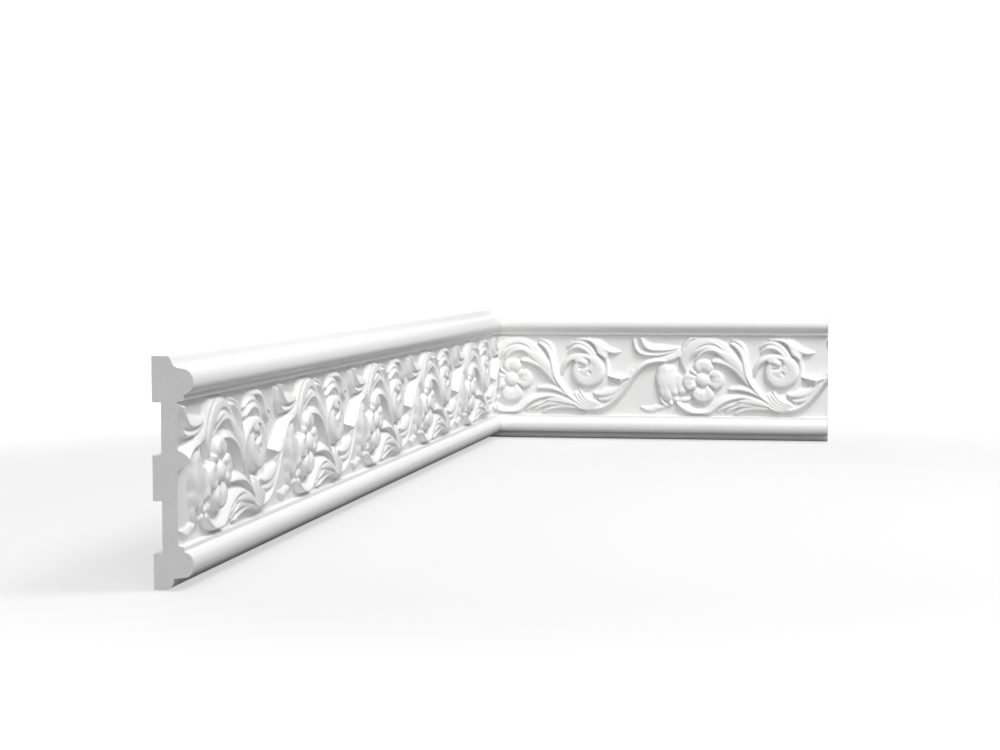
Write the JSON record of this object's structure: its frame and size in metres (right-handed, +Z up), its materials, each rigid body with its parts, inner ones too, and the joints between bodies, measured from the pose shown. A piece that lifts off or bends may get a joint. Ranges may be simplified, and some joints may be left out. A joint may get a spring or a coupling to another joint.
{
  "type": "carved wall moulding run round an inside corner",
  "caption": "White wall moulding with a scrolling leaf and flower frieze, mitred round an inside corner of a room, with square-cut free ends.",
  "frame": {"origin": "middle of the bounding box's underside", "axes": "+Z up; the long length runs along Y with its back to -X; the short length runs along X with its back to +Y; the room's corner is at -X +Y"},
  "size_m": [0.295, 0.84, 0.11],
  "materials": {
    "moulding": "white factory primer, satin-matt, with the bare foam core showing on sawn ends"
  },
  "bodies": {
    "root": {"long_length": "moulding", "short_length": "moulding"}
  },
  "joints": []
}
